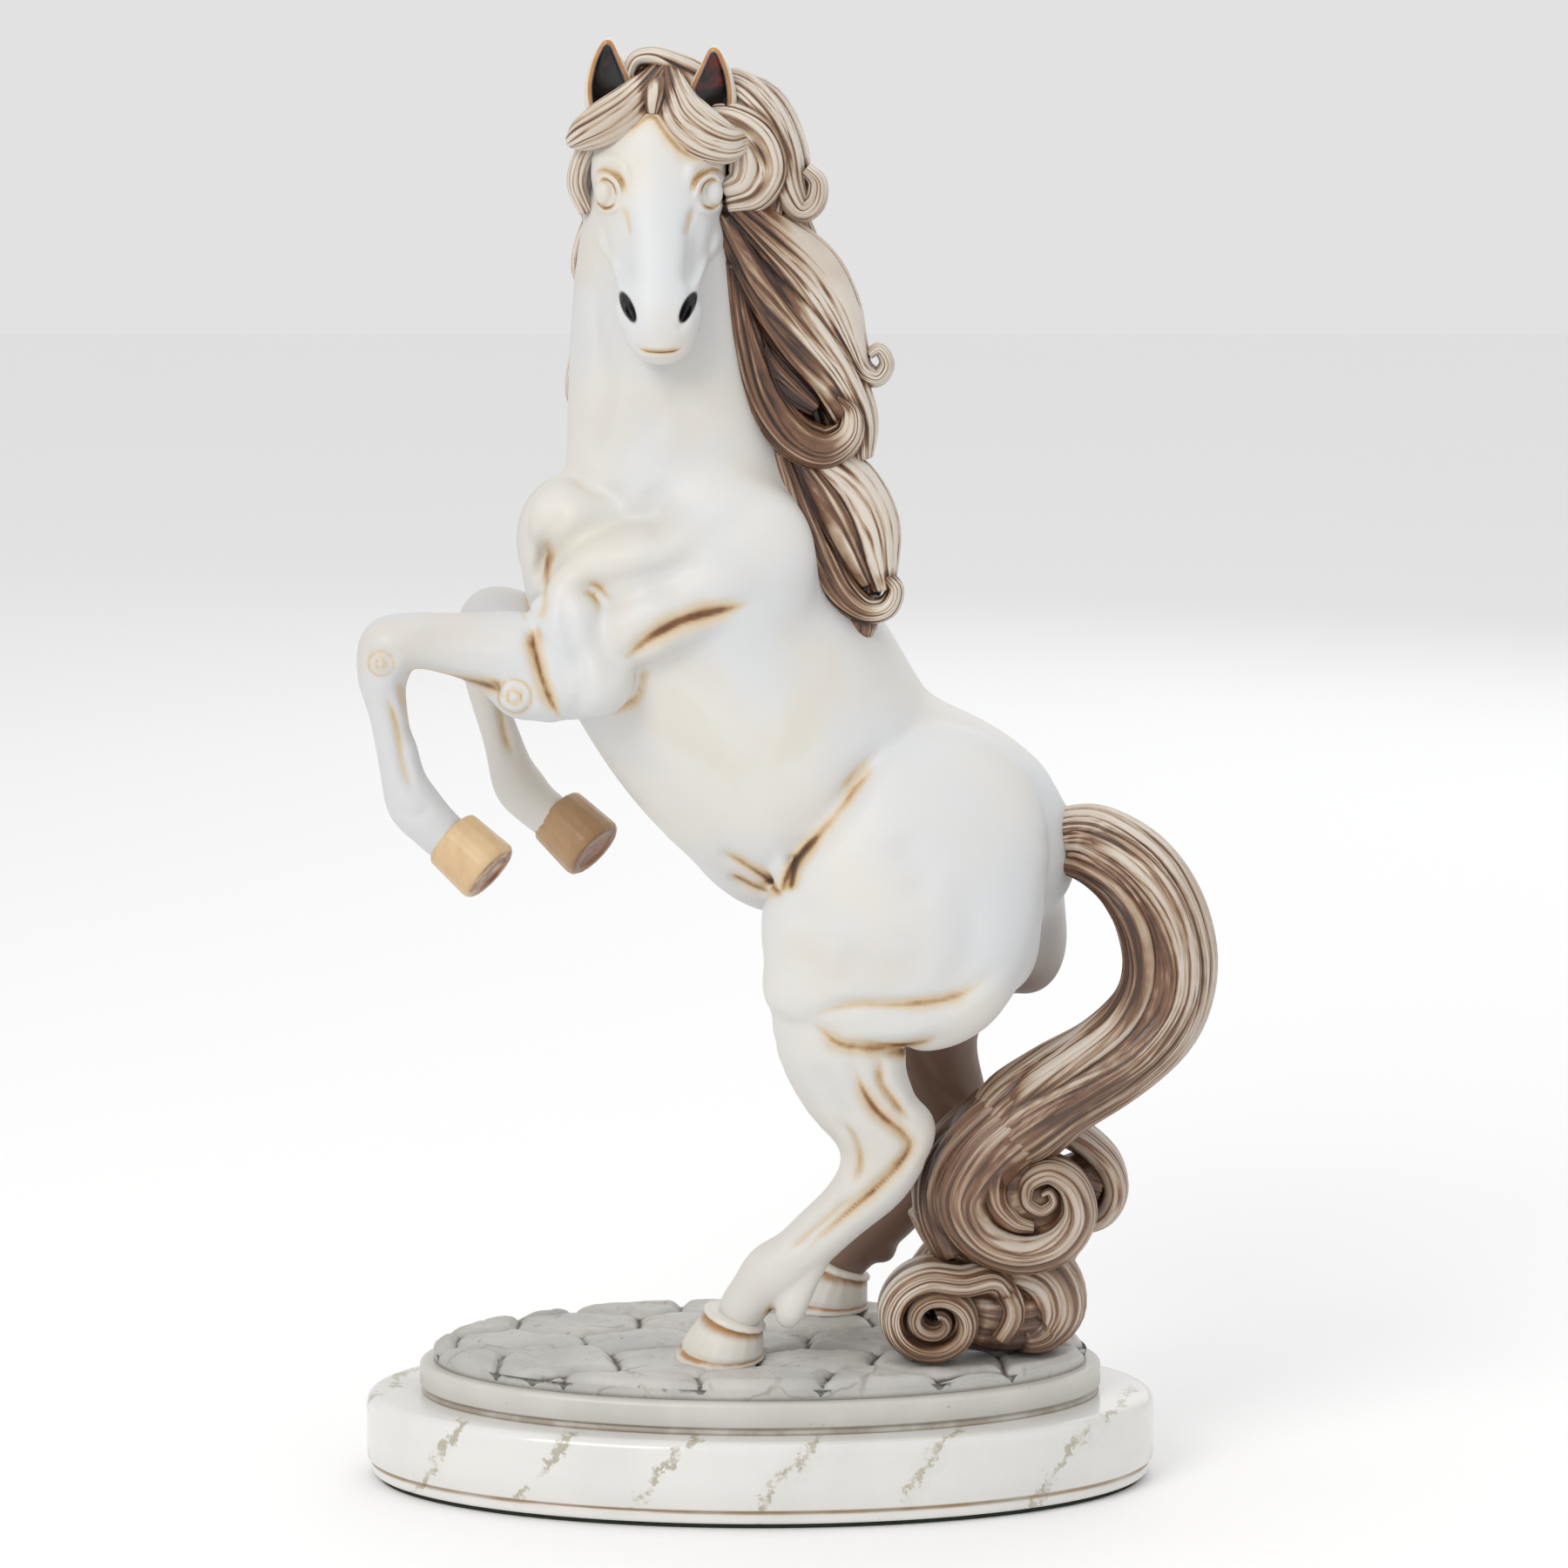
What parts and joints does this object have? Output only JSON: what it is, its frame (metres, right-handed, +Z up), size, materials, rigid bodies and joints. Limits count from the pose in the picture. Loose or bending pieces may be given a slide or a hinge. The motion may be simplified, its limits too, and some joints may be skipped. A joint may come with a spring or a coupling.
{
  "type": "rearing horse statue",
  "caption": "Rearing horse statue cast in pinned sections, with a flowing mane and a coiled tail, bolted to an oval stepped plinth.",
  "frame": {"origin": "centre of the felt pad's underside", "axes": "+Z up, the horse faces -X, its left side faces -Y"},
  "size_m": [0.2354, 0.11, 0.4001],
  "materials": {
    "felt": "dense short felt",
    "marble": "polished off-white marble with faint olive-brown veins",
    "step_stone": "smooth satin ivory stone",
    "cobbles": "worn light grey stone with dark pits and joints",
    "body_patina": "satin ivory with brown and gold patina in the recesses",
    "hair_patina": "satin beige with dark brown grooves",
    "ear_gilt": "ivory with gilded rims and a dark glossy inside",
    "hoof_tan": "satin tan with red-brown edges",
    "steel": "zinc-plated steel"
  },
  "bodies": {
    "root": {"felt_pad": "felt", "marble_base": "marble", "base_step": "step_stone", "cobbled_ground": "cobbles", "torso": "body_patina", "head": "body_patina", "left_ear": "ear_gilt", "right_ear": "ear_gilt", "forelock": "hair_patina", "mane_crest": "hair_patina", "mane_long": "hair_patina", "mane_low": "hair_patina", "mane_far": "hair_patina", "left_foreleg": "body_patina", "right_foreleg": "body_patina", "left_fore_hoof": "hoof_tan", "right_fore_hoof": "hoof_tan", "left_hind_leg": "body_patina", "right_hind_leg": "body_patina", "left_hind_hoof": "body_patina", "right_hind_hoof": "body_patina", "tail_upper": "hair_patina", "tail_curl": "hair_patina", "tail_rolls": "hair_patina", "neck_dowel": "steel", "left_foreleg_pin": "steel", "right_foreleg_pin": "steel", "tail_pin": "steel", "left_leg_stud": "steel", "right_leg_stud": "steel", "tail_stud": "steel", "stud_washers": "steel", "stud_nuts": "steel"}
  },
  "joints": []
}
